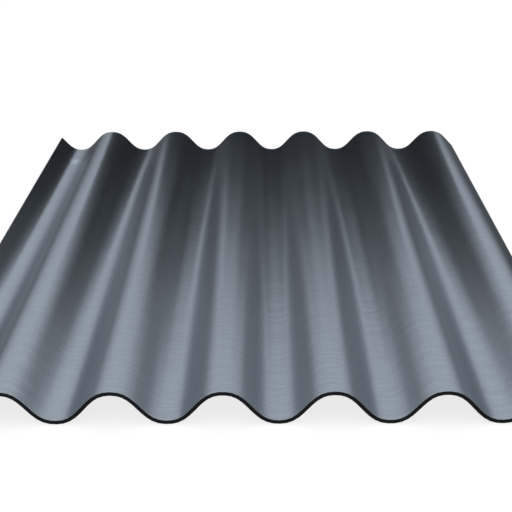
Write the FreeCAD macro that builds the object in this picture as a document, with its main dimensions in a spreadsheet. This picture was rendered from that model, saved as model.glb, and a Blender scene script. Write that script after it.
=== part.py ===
"""A six-wave corrugated fibre cement roofing sheet: one cured piece, the same thickness everywhere.

Row frame: the waves run along Y and step along X, and Z is up. The origin is under the middle of the
sheet, on the level floor that its valleys rest on. Lengths are in millimetres and angles in degrees.

The left edge stops on the slope that rises from the first valley, and the right edge on the slope that
falls from the last crest, so that the right edge of one sheet laps over the left edge of the next.
"""

import FreeCAD
import Part
import math
import os
import Sketcher

SHEET_LABEL = "corrugated_sheet"

# Driving dimensions: the alias of each cell, its plain number and its meaning.
DIMENSIONS = [
    ("sheet_length", 1525.0, "mm along the waves"),
    ("wave_count", 6, "whole crests across the sheet"),
    ("wave_pitch", 177.0, "mm from crest to crest"),
    ("wave_height", 51.0, "mm from valley to crest, both taken on the same face"),
    ("flank_angle", 46.0, "degrees from the floor, on the straight part between valley and crest"),
    ("sheet_thickness", 6.5, "mm, square to the face"),
    ("left_tail", 54.0, "mm across from the first valley to the left edge, at mid-thickness"),
    ("right_tail", 58.5, "mm across from the last crest to the right edge, at mid-thickness"),
]

# Sizes that follow from the driving dimensions, as expressions for the features that use them.
HALF_WIDTH = (
    "(((Dimensions.wave_count - 0.5) * Dimensions.wave_pitch"
    " + Dimensions.left_tail + Dimensions.right_tail) / 2)"
)
OVERALL_HEIGHT = "Dimensions.wave_height + Dimensions.sheet_thickness"
MID_HEIGHT = f"({OVERALL_HEIGHT}) / 2"
CUT_TOP = "Dimensions.wave_height + 2 * Dimensions.sheet_thickness"
CUT_BOTTOM = "Dimensions.sheet_thickness"
FIRST_CREST = f"-{HALF_WIDTH} + Dimensions.left_tail - Dimensions.wave_pitch / 2"
LEFT_INFLECTION = f"{HALF_WIDTH} - Dimensions.left_tail + Dimensions.wave_pitch / 4"
RIGHT_INFLECTION = f"{HALF_WIDTH} - Dimensions.right_tail + Dimensions.wave_pitch / 4"

# Sketcher's numbers for a sketch's own axes, and for the points of a line or an arc.
X_AXIS = -1
Y_AXIS = -2
START = 1
END = 2
CENTRE = 3
ORIGIN = (X_AXIS, START)


class WaveNumbers:
    """The wave in plain numbers, used only to draw each sketch where its constraints will hold it."""

    def __init__(self, dims):
        self.pitch = dims.wave_pitch
        self.height = dims.wave_height
        self.thickness = dims.sheet_thickness
        self.slope = math.radians(dims.flank_angle)
        self.half_width = ((dims.wave_count - 0.5) * self.pitch + dims.left_tail + dims.right_tail) / 2
        self.left_tail = dims.left_tail
        self.right_tail = dims.right_tail
        overshoot = self.pitch / 2 * math.tan(self.slope) - self.height
        self.bend = overshoot / (
            2 * math.sin(self.slope) * math.tan(self.slope) + 2 * math.cos(self.slope) - 2
        )


def make_spreadsheet(doc):
    """The spreadsheet of driving dimensions, one row for each."""
    sheet = doc.addObject("Spreadsheet::Sheet", "Dimensions")
    for row, (alias, value, meaning) in enumerate(DIMENSIONS, start=1):
        sheet.set(f"A{row}", alias)
        sheet.set(f"B{row}", str(value))
        sheet.set(f"C{row}", meaning)
        sheet.setAlias(f"B{row}", alias)
    doc.recompute()
    return sheet


def new_section_sketch(body, name):
    """An empty sketch on the body's XZ plane: its x is the row's X, and its y is the row's Z."""
    sketch = body.newObject("Sketcher::SketchObject", name)
    plane = next(item for item in body.Origin.OriginFeatures if item.Role == "XZ_Plane")
    sketch.AttachmentSupport = [(plane, "")]
    sketch.MapMode = "FlatFace"
    return sketch


def add_line(sketch, start, end, construction=False):
    segment = Part.LineSegment(FreeCAD.Vector(*start, 0), FreeCAD.Vector(*end, 0))
    return sketch.addGeometry(segment, construction)


def add_arc(sketch, centre, radius, start_angle, end_angle):
    circle = Part.Circle(FreeCAD.Vector(*centre, 0), FreeCAD.Vector(0, 0, 1), radius)
    return sketch.addGeometry(Part.ArcOfCircle(circle, start_angle, end_angle), False)


def join(sketch, kind, *places):
    """A constraint that has no size of its own, such as Coincident or Tangent."""
    return sketch.addConstraint(Sketcher.Constraint(kind, *places))


def drive(sketch, name, expression, drawn, kind, *places):
    """A dimension under a name, tied to the spreadsheet. drawn is its value as the sketch was drawn."""
    index = sketch.addConstraint(Sketcher.Constraint(kind, *places, drawn))
    sketch.renameConstraint(index, name)
    sketch.setExpression(f"Constraints.{name}", expression)


def draw_face(sketch, wave, valley_radius, crest_radius):
    """One face of one wave, as five tangent runs from the left valley line to the right one."""
    down, up = -math.pi / 2, math.pi / 2
    crest = (0, wave.height + wave.thickness / 2 - wave.bend)
    valley_height = wave.thickness / 2 + wave.bend
    left = (-wave.pitch / 2, valley_height)
    right = (wave.pitch / 2, valley_height)

    def on_arc(centre, radius, angle):
        return centre[0] + radius * math.cos(angle), centre[1] + radius * math.sin(angle)

    left_valley = add_arc(sketch, left, valley_radius, down, down + wave.slope)
    left_flank = add_line(
        sketch,
        on_arc(left, valley_radius, down + wave.slope),
        on_arc(crest, crest_radius, up + wave.slope),
    )
    crest_arc = add_arc(sketch, crest, crest_radius, up - wave.slope, up + wave.slope)
    right_flank = add_line(
        sketch,
        on_arc(crest, crest_radius, up - wave.slope),
        on_arc(right, valley_radius, down - wave.slope),
    )
    right_valley = add_arc(sketch, right, valley_radius, down - wave.slope, down)

    join(sketch, "Tangent", left_valley, END, left_flank, START)
    join(sketch, "Tangent", left_flank, END, crest_arc, END)
    join(sketch, "Tangent", crest_arc, START, right_flank, START)
    join(sketch, "Tangent", right_flank, END, right_valley, START)
    return left_valley, left_flank, crest_arc, right_valley


def wave_section(body, wave):
    """The outline of one whole wave, from valley line to valley line, with its crest on the y axis.

    The two faces share their arc centres, which keeps the thickness the same all the way round. The
    sketch is set over to the wave whose right-hand valley is the first valley of the finished sheet.
    """
    sketch = new_section_sketch(body, "wave_section")
    wide = wave.bend + wave.thickness / 2
    tight = wave.bend - wave.thickness / 2
    left_under, flank_under, crest_under, right_under = draw_face(sketch, wave, wide, tight)
    left_over, flank_over, crest_over, right_over = draw_face(sketch, wave, tight, wide)

    half_pitch = wave.pitch / 2
    left_end = add_line(sketch, (-half_pitch, 0), (-half_pitch, wave.thickness))
    right_end = add_line(sketch, (half_pitch, 0), (half_pitch, wave.thickness))
    join(sketch, "Coincident", left_end, START, left_under, START)
    join(sketch, "Coincident", left_end, END, left_over, START)
    join(sketch, "Coincident", right_end, START, right_under, END)
    join(sketch, "Coincident", right_end, END, right_over, END)
    join(sketch, "Vertical", left_end)
    join(sketch, "Vertical", left_under, CENTRE, left_under, START)
    join(sketch, "Symmetric", left_end, START, right_end, START, Y_AXIS)
    join(sketch, "Symmetric", left_end, END, right_end, END, Y_AXIS)
    join(sketch, "Symmetric", left_under, CENTRE, right_under, CENTRE, Y_AXIS)
    join(sketch, "PointOnObject", left_under, START, X_AXIS)

    join(sketch, "Coincident", left_under, CENTRE, left_over, CENTRE)
    join(sketch, "Coincident", crest_under, CENTRE, crest_over, CENTRE)
    join(sketch, "Coincident", right_under, CENTRE, right_over, CENTRE)
    join(sketch, "PointOnObject", crest_under, CENTRE, Y_AXIS)
    join(sketch, "Equal", left_under, crest_over)
    join(sketch, "Parallel", flank_under, flank_over)

    crest_top = sketch.addGeometry(Part.Point(FreeCAD.Vector(0, wave.height, 0)), True)
    join(sketch, "PointOnObject", crest_top, START, crest_under)
    join(sketch, "PointOnObject", crest_top, START, Y_AXIS)

    ends = (left_under, START, right_under, END)
    drive(sketch, "pitch", "Dimensions.wave_pitch", wave.pitch, "DistanceX", *ends)
    drive(sketch, "rise", "Dimensions.wave_height", wave.height, "DistanceY", *ORIGIN, crest_top, START)
    drive(sketch, "slope", "Dimensions.flank_angle", wave.slope, "Angle", flank_under)
    drive(sketch, "thickness", "Dimensions.sheet_thickness", wave.thickness, "Distance", left_end)

    sketch.setExpression("AttachmentOffset.Base.x", FIRST_CREST)
    return sketch


def wave_row(body, section):
    """The section as long as the sheet, repeated across it. The end waves run past the edges."""
    wave = body.newObject("PartDesign::Pad", "wave")
    wave.Profile = section
    wave.SideType = "Symmetric"
    wave.setExpression("Length", "Dimensions.sheet_length")

    row = body.newObject("PartDesign::LinearPattern", "wave_row")
    row.Originals = [wave]
    row.Direction = (section, ["H_Axis"])
    row.Mode = "Spacing"
    row.setExpression("Offset", "Dimensions.wave_pitch")
    row.setExpression("Occurrences", "Dimensions.wave_count + 1")
    body.Tip = row
    return row


def cut_edge(sketch, wave, side, name, tail, inflection):
    """A four-sided outline over what lies past one edge. side is -1 for the left edge and 1 for the right.

    The outline's cut line is square to the line of the nearest flank. The left edge stops on its flank,
    and the right edge 3 mm past the end of its own, where the valley's curve has hardly begun, so both
    are about as wide as the sheet is thick. The construction line runs along the middle of the flank's
    thickness, from the inflection half-way up.
    """
    middle = (wave.height + wave.thickness) / 2
    top, bottom = wave.height + 2 * wave.thickness, -wave.thickness
    start_x = side * (wave.half_width - tail) + side * wave.pitch / 4
    edge_x = side * wave.half_width
    edge_y = middle - (edge_x - start_x) * math.tan(wave.slope)
    far_x = side * (wave.half_width + wave.pitch)

    def on_cut(height):
        return edge_x + (height - edge_y) * math.tan(wave.slope), height

    flank_end = (start_x - (top - middle) / math.tan(wave.slope), top)
    flank = add_line(sketch, (start_x, middle), flank_end, True)
    cut = add_line(sketch, on_cut(bottom), on_cut(top))
    over = add_line(sketch, on_cut(top), (far_x, top))
    outside = add_line(sketch, (far_x, top), (far_x, bottom))
    under = add_line(sketch, (far_x, bottom), on_cut(bottom))
    edge = sketch.addGeometry(Part.Point(FreeCAD.Vector(edge_x, edge_y, 0)), True)
    for one, following in ((cut, over), (over, outside), (outside, under), (under, cut)):
        join(sketch, "Coincident", one, END, following, START)
    join(sketch, "Horizontal", over)
    join(sketch, "Vertical", outside)
    join(sketch, "Horizontal", under)
    join(sketch, "PointOnObject", edge, START, flank)
    join(sketch, "PointOnObject", edge, START, cut)
    join(sketch, "Perpendicular", flank, cut)

    def drive_across(label, expression, drawn, *place):
        ends = (*place, *ORIGIN) if side < 0 else (*ORIGIN, *place)
        drive(sketch, f"{name}_{label}", expression, abs(drawn), "DistanceX", *ends)

    drive_across("inflection", inflection, start_x, flank, START)
    drive_across("edge", HALF_WIDTH, edge_x, edge, START)
    drive_across("reach", f"{HALF_WIDTH} + Dimensions.wave_pitch", far_x, outside, START)
    drive(sketch, f"{name}_middle", MID_HEIGHT, middle, "DistanceY", *ORIGIN, flank, START)
    drive(sketch, f"{name}_flank_top", CUT_TOP, top, "DistanceY", *ORIGIN, flank, END)
    drive(sketch, f"{name}_cut_top", CUT_TOP, top, "DistanceY", *ORIGIN, cut, END)
    drive(sketch, f"{name}_cut_bottom", CUT_BOTTOM, -bottom, "DistanceY", cut, START, *ORIGIN)
    drive(sketch, f"{name}_slope", "180 - Dimensions.flank_angle", math.pi - wave.slope, "Angle", flank)


def side_edges(body, wave):
    """Cuts the row of waves off at both edges."""
    sketch = new_section_sketch(body, "side_edge_outlines")
    cut_edge(sketch, wave, -1, "left", wave.left_tail, LEFT_INFLECTION)
    cut_edge(sketch, wave, 1, "right", wave.right_tail, RIGHT_INFLECTION)

    edges = body.newObject("PartDesign::Pocket", "side_edges")
    edges.Profile = sketch
    edges.SideType = "Symmetric"
    edges.Type = "ThroughAll"
    body.Tip = edges
    return edges


def check(doc, body, row):
    """Stops before anything is written if a feature failed or the edges cut nothing away."""
    failed = [item.Name for item in doc.Objects if {"Invalid", "Error"} & set(item.State)]
    if failed:
        raise RuntimeError(f"these features failed: {failed}")
    loose = [item.Name for item in doc.Objects if item.isDerivedFrom("Sketcher::SketchObject")
             and not item.FullyConstrained]
    if loose:
        raise RuntimeError(f"these sketches are not fully constrained: {loose}")
    if body.Shape.isNull() or not body.Shape.isValid() or len(body.Shape.Solids) != 1:
        raise RuntimeError(f"{body.Label} is not one valid solid")
    if body.Shape.Volume >= row.Shape.Volume:
        raise RuntimeError("the side edges cut nothing away")


def main():
    doc = FreeCAD.newDocument("corrugated_fibre_cement_sheet")
    wave = WaveNumbers(make_spreadsheet(doc))
    body = doc.addObject("PartDesign::Body", SHEET_LABEL)
    body.Label = SHEET_LABEL
    row = wave_row(body, wave_section(body, wave))
    doc.recompute()
    side_edges(body, wave)
    doc.recompute()
    check(doc, body, row)

    os.makedirs("parts", exist_ok=True)
    body.Shape.exportStep(f"parts/{body.Label}.step")
    box = body.Shape.BoundBox
    print(f"{body.Label}: {len(body.Shape.Faces)} faces, {body.Shape.Volume / 1e6:.3f} litres")
    print(f"x {box.XMin:.2f} to {box.XMax:.2f}, y {box.YMin:.2f} to {box.YMax:.2f}")
    print(f"z {box.ZMin:.2f} to {box.ZMax:.2f}")


main()
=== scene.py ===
"""A six-wave corrugated fibre cement roofing sheet, lying flat on a pale studio floor."""

import math

import bpy
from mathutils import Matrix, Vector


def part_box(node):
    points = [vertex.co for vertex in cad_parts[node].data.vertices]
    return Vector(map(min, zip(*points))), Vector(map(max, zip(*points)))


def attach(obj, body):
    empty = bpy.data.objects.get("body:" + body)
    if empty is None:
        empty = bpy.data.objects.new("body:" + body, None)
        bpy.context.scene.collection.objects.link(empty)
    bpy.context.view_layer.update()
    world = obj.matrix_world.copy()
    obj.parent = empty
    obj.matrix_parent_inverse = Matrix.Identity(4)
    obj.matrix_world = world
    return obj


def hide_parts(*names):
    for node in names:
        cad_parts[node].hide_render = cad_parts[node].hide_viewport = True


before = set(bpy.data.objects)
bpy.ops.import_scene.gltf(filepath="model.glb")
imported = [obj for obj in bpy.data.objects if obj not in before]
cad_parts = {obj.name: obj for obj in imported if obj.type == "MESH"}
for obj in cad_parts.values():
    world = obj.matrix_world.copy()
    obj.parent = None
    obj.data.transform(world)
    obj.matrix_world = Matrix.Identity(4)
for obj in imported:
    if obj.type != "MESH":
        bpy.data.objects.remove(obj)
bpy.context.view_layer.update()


# ---------------------------------------------------------------------------------------------------
# The coated face. The weathered side has a factory coat of satin blue-black acrylic, rolled over the
# cured cement. The felt that carried the wet sheet leaves a faint cross ripple that shows through it.
# ---------------------------------------------------------------------------------------------------

BOARD_MAP = "board"  # the flat board's own lengths, across and along, in metres


def add_node(tree, kind, **inputs):
    """A node of that kind. Each input is a plain value or a socket to link from, by the input's name."""
    node = tree.nodes.new(kind)
    for name, value in inputs.items():
        fill(tree, node.inputs[name.replace("_", " ")], value)
    return node


def fill(tree, socket, value):
    if isinstance(value, bpy.types.NodeSocket):
        tree.links.new(value, socket)
    else:
        socket.default_value = value


def new_finish(name):
    """An empty material with its shader, and the output that the shader goes to."""
    material = bpy.data.materials.new(name)
    material.use_nodes = True
    tree = material.node_tree
    tree.nodes.clear()
    shader = tree.nodes.new("ShaderNodeBsdfPrincipled")
    output = tree.nodes.new("ShaderNodeOutputMaterial")
    tree.links.new(shader.outputs["BSDF"], output.inputs["Surface"])
    return material, tree, shader


def board_noise(tree, across, along, detail=2.0, roughness=0.5, seed=0.0):
    """Noise on the developed board, with that many features to the metre each way."""
    board = add_node(tree, "ShaderNodeUVMap")
    board.uv_map = BOARD_MAP
    spread = add_node(
        tree, "ShaderNodeMapping",
        Vector=board.outputs["UV"], Location=(seed, seed, 0), Scale=(across, along, 1),
    )
    noise = add_node(
        tree, "ShaderNodeTexNoise",
        Vector=spread.outputs["Vector"], Scale=1.0, Detail=detail, Roughness=roughness,
    )
    return noise.outputs["Fac"]


def between(tree, factor, low, high, from_low=0.0, from_high=1.0):
    """The factor brought to lie between two values."""
    ranged = add_node(tree, "ShaderNodeMapRange", Value=factor)
    ranged.inputs["From Min"].default_value = from_low
    ranged.inputs["From Max"].default_value = from_high
    ranged.inputs["To Min"].default_value = low
    ranged.inputs["To Max"].default_value = high
    return ranged.outputs["Result"]


def blend_colours(tree, factor, first, second):
    blend = tree.nodes.new("ShaderNodeMix")
    blend.data_type = "RGBA"
    fill(tree, blend.inputs["Factor"], factor)
    fill(tree, blend.inputs[6], first)
    fill(tree, blend.inputs[7], second)
    return blend.outputs[2]


def relief(tree, height, depth, under=None):
    """Bumps of that depth in metres, over another relief if there is one."""
    bump = add_node(tree, "ShaderNodeBump", Height=height, Strength=1.0, Distance=depth)
    if under is not None:
        tree.links.new(under, bump.inputs["Normal"])
    return bump.outputs["Normal"]


def paint_coated_face():
    coat_dark = (0.000, 0.000, 0.001, 1)
    coat_light = (0.003, 0.004, 0.005, 1)
    # A pale spot is painted into the coat's colour on the far-left valley near the far end. It is a painted
    # highlight that stands for a glint there.
    painted_glint_colour = (0.21, 0.24, 0.27, 1)
    painted_glint_place = (-0.490, 0.645)
    painted_glint_reach = 0.015
    painted_glint_across, painted_glint_along = 1.0, 0.4

    coated, tree, shader = new_finish("satin_blue_black_coat")

    clouds = board_noise(tree, 7, 4, detail=4)
    streaks = board_noise(tree, 55, 1.6, detail=3, seed=3.0)
    ripple = board_noise(tree, 14, 125, detail=2, roughness=0.6, seed=7.0)
    grain = board_noise(tree, 260, 300, detail=2, roughness=0.6, seed=17.0)

    ridges = add_node(tree, "ShaderNodeMath")
    ridges.operation = "ADD"
    tree.links.new(between(tree, ripple, 0, 0.5, 0.38, 0.62), ridges.inputs[0])
    tree.links.new(between(tree, grain, 0, 0.5, 0.38, 0.62), ridges.inputs[1])
    colour = blend_colours(tree, ridges.outputs["Value"], coat_dark, coat_light)

    # The painted highlight: within a small oval round that spot, the coat's colour turns pale.
    place = tree.nodes.new("ShaderNodeTexCoord")
    painted_glint_way = add_node(
        tree, "ShaderNodeMapping",
        Vector=place.outputs["Object"], Scale=(painted_glint_across, painted_glint_along, 0),
        Location=(-painted_glint_across * painted_glint_place[0], -painted_glint_along * painted_glint_place[1], 0),
    )
    painted_glint_far = tree.nodes.new("ShaderNodeVectorMath")
    painted_glint_far.operation = "LENGTH"
    tree.links.new(painted_glint_way.outputs["Vector"], painted_glint_far.inputs[0])
    painted_glint = between(tree, painted_glint_far.outputs["Value"], 0.8, 0.0, 0.0, painted_glint_reach)
    colour = blend_colours(tree, painted_glint, colour, painted_glint_colour)
    tree.links.new(colour, shader.inputs["Base Color"])

    gloss = add_node(tree, "ShaderNodeMath")
    gloss.operation = "ADD"
    tree.links.new(between(tree, streaks, -0.008, 0.008, 0.3, 0.7), gloss.inputs[0])
    tree.links.new(between(tree, clouds, 0.285, 0.3, 0.3, 0.7), gloss.inputs[1])
    tree.links.new(gloss.outputs["Value"], shader.inputs["Roughness"])
    tree.links.new(between(tree, ridges.outputs["Value"], 0.44, 0.56), shader.inputs["Specular IOR Level"])
    shader.inputs["IOR"].default_value = 3.5
    shader.inputs["Specular Tint"].default_value = (0.90, 0.95, 1.0, 1)

    normal = relief(tree, ripple, 0.0003)
    normal = relief(tree, grain, 0.00005, normal)
    tree.links.new(normal, shader.inputs["Normal"])
    return coated


coated_face = paint_coated_face()


# ---------------------------------------------------------------------------------------------------
# The bare sides. The cut edges are sawn through the dark grey body and stay matt. Their near black
# colour, far darker than the same body below, is painted shade. The underside has no coat: it is the
# same dull body with the weave of the felt pressed in it.
# ---------------------------------------------------------------------------------------------------


def paint_edge_with_painted_shade():
    # Painted shade: these near black colours are far darker than the body on the underside, and they darken
    # the cut edges as if in shade.
    body_dark = (0.003, 0.003, 0.004, 1)
    body_light = (0.010, 0.010, 0.012, 1)

    edge_with_painted_shade, tree, shader = new_finish("edge_with_painted_shade")
    specks = board_noise(tree, 420, 420, detail=3, seed=23.0)
    place = tree.nodes.new("ShaderNodeTexCoord")
    layers = add_node(tree, "ShaderNodeTexNoise", Vector=place.outputs["Object"], Scale=260.0, Detail=3.0)
    colour = blend_colours(tree, between(tree, layers.outputs["Fac"], 0, 1, 0.35, 0.7), body_dark, body_light)
    tree.links.new(colour, shader.inputs["Base Color"])
    tree.links.new(between(tree, specks, 0.75, 0.95), shader.inputs["Roughness"])
    shader.inputs["IOR"].default_value = 1.3
    tree.links.new(relief(tree, layers.outputs["Fac"], 0.0002), shader.inputs["Normal"])
    return edge_with_painted_shade


def paint_underside():
    body_dark = (0.058, 0.062, 0.068, 1)
    body_light = (0.070, 0.074, 0.080, 1)

    underside, tree, shader = new_finish("bare_underside")
    clouds = board_noise(tree, 9, 5, detail=5, seed=31.0)
    colour = blend_colours(tree, between(tree, clouds, 0, 1, 0.35, 0.65), body_dark, body_light)
    tree.links.new(colour, shader.inputs["Base Color"])
    tree.links.new(between(tree, clouds, 0.68, 0.8), shader.inputs["Roughness"])
    weave = board_noise(tree, 300, 500, detail=2, seed=37.0)
    tree.links.new(relief(tree, weave, 0.00012), shader.inputs["Normal"])
    return underside


edge_with_painted_shade = paint_edge_with_painted_shade()
underside = paint_underside()


# ---------------------------------------------------------------------------------------------------
# The sheet. It is laid as a flat wet board, trimmed square, then sucked down into its waves, so the
# tree below starts from a flat rounded board and bends it the same way.
# ---------------------------------------------------------------------------------------------------

sheet_low, sheet_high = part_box("corrugated_sheet")
wave_pitch = 0.177
sheet_thickness = 0.0065
flank_ease = 0.06
left_tail = 0.054
right_tail = 0.0585
crest_count = 6
end_lean = 0.0022
sheet_length = sheet_high.y - sheet_low.y
wave_height = sheet_high.z - sheet_low.z - sheet_thickness
first_crest = sheet_low.x + end_lean + left_tail + wave_pitch / 2


def wave_steepness(across):
    """Rise over run at that distance from a crest: a sine with a little of its third harmonic."""
    turn = 2 * math.pi * across / wave_pitch
    sway = (1 + flank_ease) * math.sin(turn) - 3 * flank_ease * math.sin(3 * turn)
    return -math.pi * wave_height / wave_pitch * sway


# The board's run from a crest to a valley, and how a place on the board goes across the sheet.
run_steps = 400
half_wave_run = sum(
    math.hypot(1, wave_steepness((step + 0.5) / run_steps * wave_pitch / 2)) for step in range(run_steps)
) / run_steps * wave_pitch / 2
draw_in = wave_pitch / 2 / half_wave_run
sway_reach = (1 - draw_in) * half_wave_run / (2 * math.pi)


def board_place(across):
    """The run along the board that ends up at that distance from the first crest."""
    settling_rounds = 40
    run = across / draw_in
    for _ in range(settling_rounds):
        run = (across - sway_reach * math.sin(2 * math.pi * run / half_wave_run)) / draw_in
    return run


board_left = board_place(-wave_pitch / 2 - left_tail)
board_right = board_place(wave_pitch * (crest_count - 1) + right_tail)


def forming_tree():
    """Bends a flat rounded board into waves. Its own length, width and thickness run along Y, X and Z."""
    tree = bpy.data.node_groups.new("form_corrugated_sheet", "GeometryNodeTree")
    sizes = (
        "Board Left", "Board Right", "Sheet Length", "Sheet Thickness", "Edge Rounding", "Wave Pitch",
        "Wave Height", "Flank Ease", "Half Wave Run", "Draw In", "Sway Reach", "First Crest", "Ripple Depth",
    )
    for name in sizes:
        tree.interface.new_socket(name, in_out="INPUT", socket_type="NodeSocketFloat")
    for name in ("Columns", "Rows", "Ripple Seed"):
        tree.interface.new_socket(name, in_out="INPUT", socket_type="NodeSocketInt")
    for name in ("Coated Face", "Cut Edge", "Underside"):
        tree.interface.new_socket(name, in_out="INPUT", socket_type="NodeSocketMaterial")
    tree.interface.new_socket("Geometry", in_out="OUTPUT", socket_type="NodeSocketGeometry")
    given = tree.nodes.new("NodeGroupInput").outputs

    def maths(operation, *values):
        node = tree.nodes.new("ShaderNodeMath")
        node.operation = operation
        for socket, value in zip(node.inputs, values):
            fill(tree, socket, value)
        return node.outputs["Value"]

    def choose(test, yes, no):
        """yes where the test is 1, and no where it is 0."""
        return maths("ADD", maths("MULTIPLY", test, yes), maths("MULTIPLY", maths("SUBTRACT", 1.0, test), no))

    def vector_maths(operation, *values):
        node = tree.nodes.new("ShaderNodeVectorMath")
        node.operation = operation
        for socket, value in zip(node.inputs, values):
            fill(tree, socket, value)
        return node.outputs["Vector"]

    def scaled(vector, scale):
        node = tree.nodes.new("ShaderNodeVectorMath")
        node.operation = "SCALE"
        fill(tree, node.inputs["Vector"], vector)
        fill(tree, node.inputs["Scale"], scale)
        return node.outputs["Vector"]

    def combine(x, y, z):
        return add_node(tree, "ShaderNodeCombineXYZ", X=x, Y=y, Z=z).outputs["Vector"]

    def parts(vector):
        return add_node(tree, "ShaderNodeSeparateXYZ", Vector=vector).outputs

    # The flat board, as a grid on all six sides.
    board_width = maths("SUBTRACT", given["Board Right"], given["Board Left"])
    layers = 4
    board = tree.nodes.new("GeometryNodeMeshCube")
    board_size = combine(board_width, given["Sheet Length"], given["Sheet Thickness"])
    tree.links.new(board_size, board.inputs["Size"])
    tree.links.new(given["Columns"], board.inputs["Vertices X"])
    tree.links.new(given["Rows"], board.inputs["Vertices Y"])
    board.inputs["Vertices Z"].default_value = layers

    # The outer lines of the grid move in beside the edges, where the rounding needs them.
    corner = given["Edge Rounding"]
    start = parts(tree.nodes.new("GeometryNodeInputPosition").outputs["Position"])

    def settle(place, size, lines):
        half = maths("DIVIDE", size, 2.0)
        spacing = maths("DIVIDE", size, maths("SUBTRACT", lines, 1.0))
        line = maths("ROUND", maths("DIVIDE", maths("SUBTRACT", half, maths("ABSOLUTE", place)), spacing))
        first = maths("MULTIPLY", maths("MINIMUM", line, 1.0), corner)
        past_first = maths("MINIMUM", maths("MAXIMUM", maths("SUBTRACT", line, 1.0), 0.0), 1.0)
        second = maths("MULTIPLY", past_first, maths("MULTIPLY", corner, 2.0))
        spare = maths("SUBTRACT", half, maths("MULTIPLY", corner, 3.0))
        spare_lines = maths("SUBTRACT", maths("DIVIDE", maths("SUBTRACT", lines, 1.0), 2.0), 2.0)
        even = maths("DIVIDE", spare, spare_lines)
        rest = maths("MULTIPLY", maths("MAXIMUM", maths("SUBTRACT", line, 2.0), 0.0), even)
        inset = maths("ADD", maths("ADD", first, second), rest)
        return maths("MULTIPLY", maths("SIGN", place), maths("SUBTRACT", half, inset))

    depth_half = maths("DIVIDE", given["Sheet Thickness"], 2.0)
    outer_layer = maths("GREATER_THAN", maths("ABSOLUTE", start["Z"]), maths("MULTIPLY", depth_half, 0.9))
    depth = maths(
        "MULTIPLY", maths("SIGN", start["Z"]),
        choose(outer_layer, depth_half, maths("SUBTRACT", depth_half, corner)),
    )
    settled = combine(
        settle(start["X"], board_width, given["Columns"]),
        settle(start["Y"], given["Sheet Length"], given["Rows"]),
        depth,
    )

    # Every edge and corner is rounded by drawing the points in towards a smaller box.
    length_half = maths("DIVIDE", given["Sheet Length"], 2.0)
    outer = combine(maths("DIVIDE", board_width, 2.0), length_half, depth_half)
    inner = vector_maths("SUBTRACT", outer, combine(corner, corner, corner))
    core = vector_maths("MAXIMUM", vector_maths("MINIMUM", settled, inner), scaled(inner, -1.0))
    outward = vector_maths("NORMALIZE", vector_maths("SUBTRACT", settled, core))
    flat = vector_maths("ADD", core, scaled(outward, corner))
    middle = maths("DIVIDE", maths("ADD", given["Board Left"], given["Board Right"]), 2.0)
    flat = vector_maths("ADD", flat, combine(middle, 0.0, 0.0))
    lay = add_node(tree, "GeometryNodeSetPosition", Geometry=board.outputs["Mesh"], Position=flat)

    # What the bending loses is kept first: each face's side, and the board's own lengths.
    facing = parts(tree.nodes.new("GeometryNodeInputNormal").outputs["Normal"])["Z"]
    side = tree.nodes.new("GeometryNodeStoreNamedAttribute")
    side.data_type, side.domain = "FLOAT", "FACE"
    side.inputs["Name"].default_value = "facing"
    tree.links.new(lay.outputs["Geometry"], side.inputs["Geometry"])
    tree.links.new(facing, side.inputs["Value"])
    board_map = tree.nodes.new("GeometryNodeStoreNamedAttribute")
    board_map.data_type, board_map.domain = "FLOAT2", "CORNER"
    board_map.inputs["Name"].default_value = BOARD_MAP
    tree.links.new(side.outputs["Geometry"], board_map.inputs["Geometry"])
    tree.links.new(tree.nodes.new("GeometryNodeInputPosition").outputs["Position"], board_map.inputs["Value"])

    # The bend. A place on the board is drawn in across the sheet, then goes up or down with the wave.
    at = parts(tree.nodes.new("GeometryNodeInputPosition").outputs["Position"])
    run_turn = maths("DIVIDE", maths("MULTIPLY", at["X"], 2 * math.pi), given["Half Wave Run"])
    across = maths(
        "ADD", maths("MULTIPLY", at["X"], given["Draw In"]),
        maths("MULTIPLY", maths("SINE", run_turn), given["Sway Reach"]),
    )
    turn = maths("DIVIDE", maths("MULTIPLY", across, 2 * math.pi), given["Wave Pitch"])
    triple = maths("MULTIPLY", turn, 3.0)
    main_share = maths("ADD", given["Flank Ease"], 1.0)
    swell = maths(
        "SUBTRACT", maths("MULTIPLY", maths("COSINE", turn), main_share),
        maths("MULTIPLY", maths("COSINE", triple), given["Flank Ease"]),
    )
    height = maths("MULTIPLY", maths("ADD", swell, 1.0), maths("DIVIDE", given["Wave Height"], 2.0))
    sway = maths(
        "SUBTRACT", maths("MULTIPLY", maths("SINE", turn), main_share),
        maths("MULTIPLY", maths("SINE", triple), maths("MULTIPLY", given["Flank Ease"], 3.0)),
    )
    steepest = maths("DIVIDE", maths("MULTIPLY", given["Wave Height"], math.pi), given["Wave Pitch"])
    steepness = maths("MULTIPLY", sway, steepest)
    on_wave = combine(maths("ADD", given["First Crest"], across), at["Y"], maths("ADD", height, depth_half))
    square_out = vector_maths("NORMALIZE", combine(steepness, 0.0, 1.0))

    # The felt's ripple is pressed into the upper face only.
    felt = tree.nodes.new("ShaderNodeTexNoise")
    felt.noise_dimensions = "3D"
    felt.inputs["Scale"].default_value = 1.0
    felt.inputs["Detail"].default_value = 2.0
    tree.links.new(
        combine(maths("MULTIPLY", at["X"], 5.0), maths("MULTIPLY", at["Y"], 45.0), given["Ripple Seed"]),
        felt.inputs["Vector"],
    )
    on_top = maths("GREATER_THAN", at["Z"], maths("MULTIPLY", depth_half, 0.999))
    pressed = maths("MULTIPLY", maths("MULTIPLY", felt.outputs["Fac"], on_top), given["Ripple Depth"])
    out_by = scaled(square_out, maths("SUBTRACT", at["Z"], pressed))
    form = add_node(
        tree, "GeometryNodeSetPosition",
        Geometry=board_map.outputs["Geometry"], Position=vector_maths("ADD", on_wave, out_by),
    )
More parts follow.
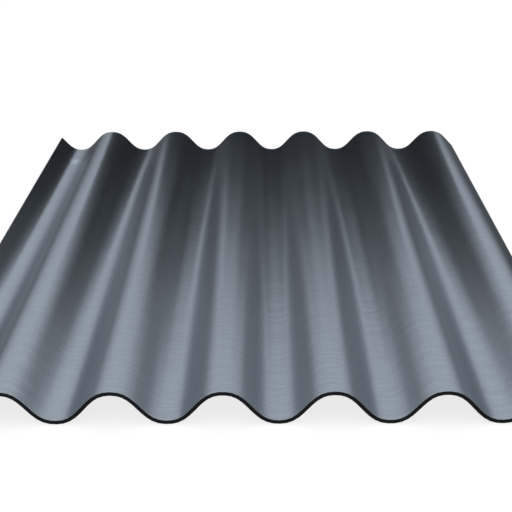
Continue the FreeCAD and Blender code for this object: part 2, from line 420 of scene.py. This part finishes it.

    # Finishes: the coat on the upper face, the sawn body round the edges coloured near black as painted
    # shade, the bare body below.
    smooth = add_node(tree, "GeometryNodeSetShadeSmooth", Geometry=form.outputs["Geometry"])
    whole = add_node(tree, "GeometryNodeRealizeInstances", Geometry=smooth.outputs["Geometry"])
    kept_side = tree.nodes.new("GeometryNodeInputNamedAttribute")
    kept_side.data_type = "FLOAT"
    kept_side.inputs["Name"].default_value = "facing"
    is_top = maths("GREATER_THAN", kept_side.outputs["Attribute"], 0.95)
    is_under = maths("LESS_THAN", kept_side.outputs["Attribute"], -0.95)
    finished = whole
    for name, where in (("Cut Edge", True), ("Coated Face", is_top), ("Underside", is_under)):
        coat = add_node(
            tree, "GeometryNodeSetMaterial", Geometry=finished.outputs["Geometry"], Selection=where
        )
        tree.links.new(given[name], coat.inputs["Material"])
        finished = coat
    result = tree.nodes.new("NodeGroupOutput")
    tree.links.new(finished.outputs["Geometry"], result.inputs["Geometry"])
    return tree


def form_sheet():
    blank = bpy.data.objects.new("sheet_blank", bpy.data.meshes.new("sheet_blank"))
    bpy.context.scene.collection.objects.link(blank)
    tree = forming_tree()
    forming = blank.modifiers.new("form", "NODES")
    forming.node_group = tree
    settings = {
        "Board Left": board_left,
        "Board Right": board_right,
        "Sheet Length": sheet_length,
        "Sheet Thickness": sheet_thickness,
        "Edge Rounding": 0.0007,
        "Wave Pitch": wave_pitch,
        "Wave Height": wave_height,
        "Flank Ease": flank_ease,
        "Half Wave Run": half_wave_run,
        "Draw In": draw_in,
        "Sway Reach": sway_reach,
        "First Crest": first_crest,
        "Ripple Depth": 0.00012,
        "Columns": 131,
        "Rows": 361,
        "Ripple Seed": 5,
        "Coated Face": coated_face,
        "Cut Edge": edge_with_painted_shade,
        "Underside": underside,
    }
    for socket in tree.interface.items_tree:
        if socket.in_out == "INPUT":
            forming[socket.identifier] = settings[socket.name]

    formed = blank.evaluated_get(bpy.context.evaluated_depsgraph_get())
    sheet = bpy.data.objects.new("formed_sheet", bpy.data.meshes.new_from_object(formed))
    bpy.context.scene.collection.objects.link(sheet)
    bpy.data.objects.remove(blank)
    return sheet


sheet = form_sheet()
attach(sheet, "root")
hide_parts("corrugated_sheet")


# ---------------------------------------------------------------------------------------------------
# The studio. A pale floor in a white room, with a soft lamp overhead. The satin coat mirrors three
# things that the camera doesn't see: a dome whose light grows upwards like a sky's, a black flag beyond
# the far end, and a dark cloth on the floor.
# ---------------------------------------------------------------------------------------------------


def plain_material(name, colour):
    material, _, shader = new_finish(name)
    shader.inputs["Base Color"].default_value = (*colour, 1)
    shader.inputs["Roughness"].default_value = 0.9
    shader.inputs["Specular IOR Level"].default_value = 0.0
    return material


def paint_floor():
    """A pale matt floor, lit a little from within so that the shadow on it stays soft."""
    floor_glow = 0.8
    paint, tree, shader = new_finish("pale_floor")
    shader.inputs["Base Color"].default_value = (1.0, 0.94, 0.87, 1)
    shader.inputs["Roughness"].default_value = 0.9
    shader.inputs["Specular IOR Level"].default_value = 0.0
    ray = tree.nodes.new("ShaderNodeLightPath").outputs
    seen = ray["Is Camera Ray"]
    for kind in ("Is Glossy Ray", "Is Transmission Ray"):
        either = add_node(tree, "ShaderNodeMath")
        either.operation = "MAXIMUM"
        fill(tree, either.inputs[0], seen)
        fill(tree, either.inputs[1], ray[kind])
        seen = either.outputs["Value"]
    glow = add_node(tree, "ShaderNodeEmission", Color=(1, 1, 1, 1), Strength=1.0)
    mixed = tree.nodes.new("ShaderNodeMixShader")
    fill(tree, mixed.inputs["Fac"], between(tree, seen, 0, floor_glow))
    fill(tree, mixed.inputs[1], shader.outputs["BSDF"])
    fill(tree, mixed.inputs[2], glow.outputs["Emission"])
    output = next(node for node in tree.nodes if node.type == "OUTPUT_MATERIAL")
    fill(tree, output.inputs["Surface"], mixed.outputs["Shader"])
    return paint


def stage_piece(name, corners, faces, material):
    """One object of the studio, made of one material and not part of the sheet."""
    mesh = bpy.data.meshes.new(name)
    mesh.from_pydata(corners, [], faces)
    mesh.materials.append(material)
    piece = bpy.data.objects.new(name, mesh)
    bpy.context.scene.collection.objects.link(piece)
    return piece


floor_edge = 11.0
floor_height, cloth_height = -0.0003, -0.0001
rim = []
for degrees in range(0, 360, 4):
    turn = math.radians(degrees)
    rim.append((floor_edge * math.cos(turn), floor_edge * math.sin(turn), floor_height))
floor = stage_piece("floor", rim, [range(len(rim))], paint_floor())

# The flag is the upper half of a rounded oblong, squarer than an ellipse.
flag_left, flag_right, flag_top, flag_place = -0.49, 0.665, 0.73, 1.41
flag_steps = 48
flag_middle, flag_half_width = (flag_left + flag_right) / 2, (flag_right - flag_left) / 2
flag_outline = []
for step in range(flag_steps + 1):
    turn = math.pi * step / flag_steps
    reach = math.copysign(math.sqrt(abs(math.cos(turn))), math.cos(turn))
    rise = math.sqrt(abs(math.sin(turn)))
    flag_outline.append((flag_middle + reach * flag_half_width, flag_place, rise * flag_top))
black = plain_material("black_cloth", (0.001, 0.001, 0.001))
flag = stage_piece("black_flag", flag_outline, [range(len(flag_outline))], black)
dark_cloth = stage_piece(
    "dark_cloth", [(x, y, cloth_height) for x, y, _ in rim], [range(len(rim))],
    plain_material("dark_cloth", (0.05, 0.05, 0.05)),
)
for backing in (flag, dark_cloth):
    backing.visible_camera = backing.visible_diffuse = backing.visible_shadow = False


def paint_light_dome():
    """Light that grows from the foot of the dome upwards, as from an open sky."""
    paint = bpy.data.materials.new("light_dome")
    paint.use_nodes = True
    tree = paint.node_tree
    tree.nodes.clear()
    place = tree.nodes.new("ShaderNodeTexCoord")
    way = tree.nodes.new("ShaderNodeVectorMath")
    way.operation = "NORMALIZE"
    fill(tree, way.inputs[0], place.outputs["Object"])
    rise = add_node(tree, "ShaderNodeSeparateXYZ", Vector=way.outputs["Vector"])
    heights = add_node(tree, "ShaderNodeValToRGB", Fac=rise.outputs["Z"])
    shades = heights.color_ramp.elements
    shades[0].position, shades[0].color = 0.03, (0.16, 0.17, 0.19, 1)
    shades[1].position, shades[1].color = 0.50, (1.07, 1.18, 1.29, 1)
    shades.new(0.15).color = (0.37, 0.40, 0.45, 1)
    shades.new(0.28).color = (0.88, 0.96, 1.06, 1)
    glow = add_node(tree, "ShaderNodeEmission", Color=heights.outputs["Color"], Strength=1.0)
    output = tree.nodes.new("ShaderNodeOutputMaterial")
    fill(tree, output.inputs["Surface"], glow.outputs["Emission"])
    return paint


# The dome's rings stop just short of its top, and one flat face closes it.
dome_reach, dome_rings, dome_posts = 12.0, 12, 48
dome_corners = []
for ring in range(dome_rings + 1):
    lift = math.pi / 2 * ring / (dome_rings + 0.5)
    for post in range(dome_posts):
        turn = 2 * math.pi * post / dome_posts
        out = dome_reach * math.cos(lift)
        dome_corners.append((out * math.cos(turn), out * math.sin(turn), dome_reach * math.sin(lift)))
dome_faces = [range(dome_rings * dome_posts, (dome_rings + 1) * dome_posts)]
for ring in range(dome_rings):
    for post in range(dome_posts):
        start, following = ring * dome_posts, (post + 1) % dome_posts
        low_pair = (start + following, start + post)
        dome_faces.append((*low_pair, start + dome_posts + post, start + dome_posts + following))
dome = stage_piece("light_dome", dome_corners, dome_faces, paint_light_dome())
dome.visible_camera = False

lamp_data = bpy.data.lights.new("overhead_softbox", "AREA")
lamp_data.shape = "SQUARE"
lamp_data.size = 2.0
lamp_data.energy = 30.0
lamp = bpy.data.objects.new("overhead_softbox", lamp_data)
lamp.location = (0, 0, 4.5)
bpy.context.scene.collection.objects.link(lamp)

room = bpy.data.worlds.new("white_room")
room.use_nodes = True
room.node_tree.nodes["Background"].inputs["Color"].default_value = (1, 1, 1, 1)
room.node_tree.nodes["Background"].inputs["Strength"].default_value = 1.0
bpy.context.scene.world = room
bpy.context.scene.view_settings.view_transform = "Standard"


# ---------------------------------------------------------------------------------------------------
# The camera looks down along the waves from beyond the near end, a little below head height.
# ---------------------------------------------------------------------------------------------------

look_down, turn_left, lean_right = 21.61, 0.15, 0.23

camera_data = bpy.data.cameras.new("camera")
camera_data.sensor_width = 36.0
camera_data.lens = 82.0
camera_data.shift_x = -0.0087
camera_data.shift_y = 0.0033
camera_data.clip_start = 0.05
camera = bpy.data.objects.new("camera", camera_data)
camera.location = (0.0180, -2.3828, 0.9253)
camera.rotation_euler = (math.radians(90 - look_down), 0, math.radians(turn_left))
camera.rotation_euler.rotate_axis("Z", math.radians(-lean_right))
bpy.context.scene.collection.objects.link(camera)
bpy.context.scene.camera = camera
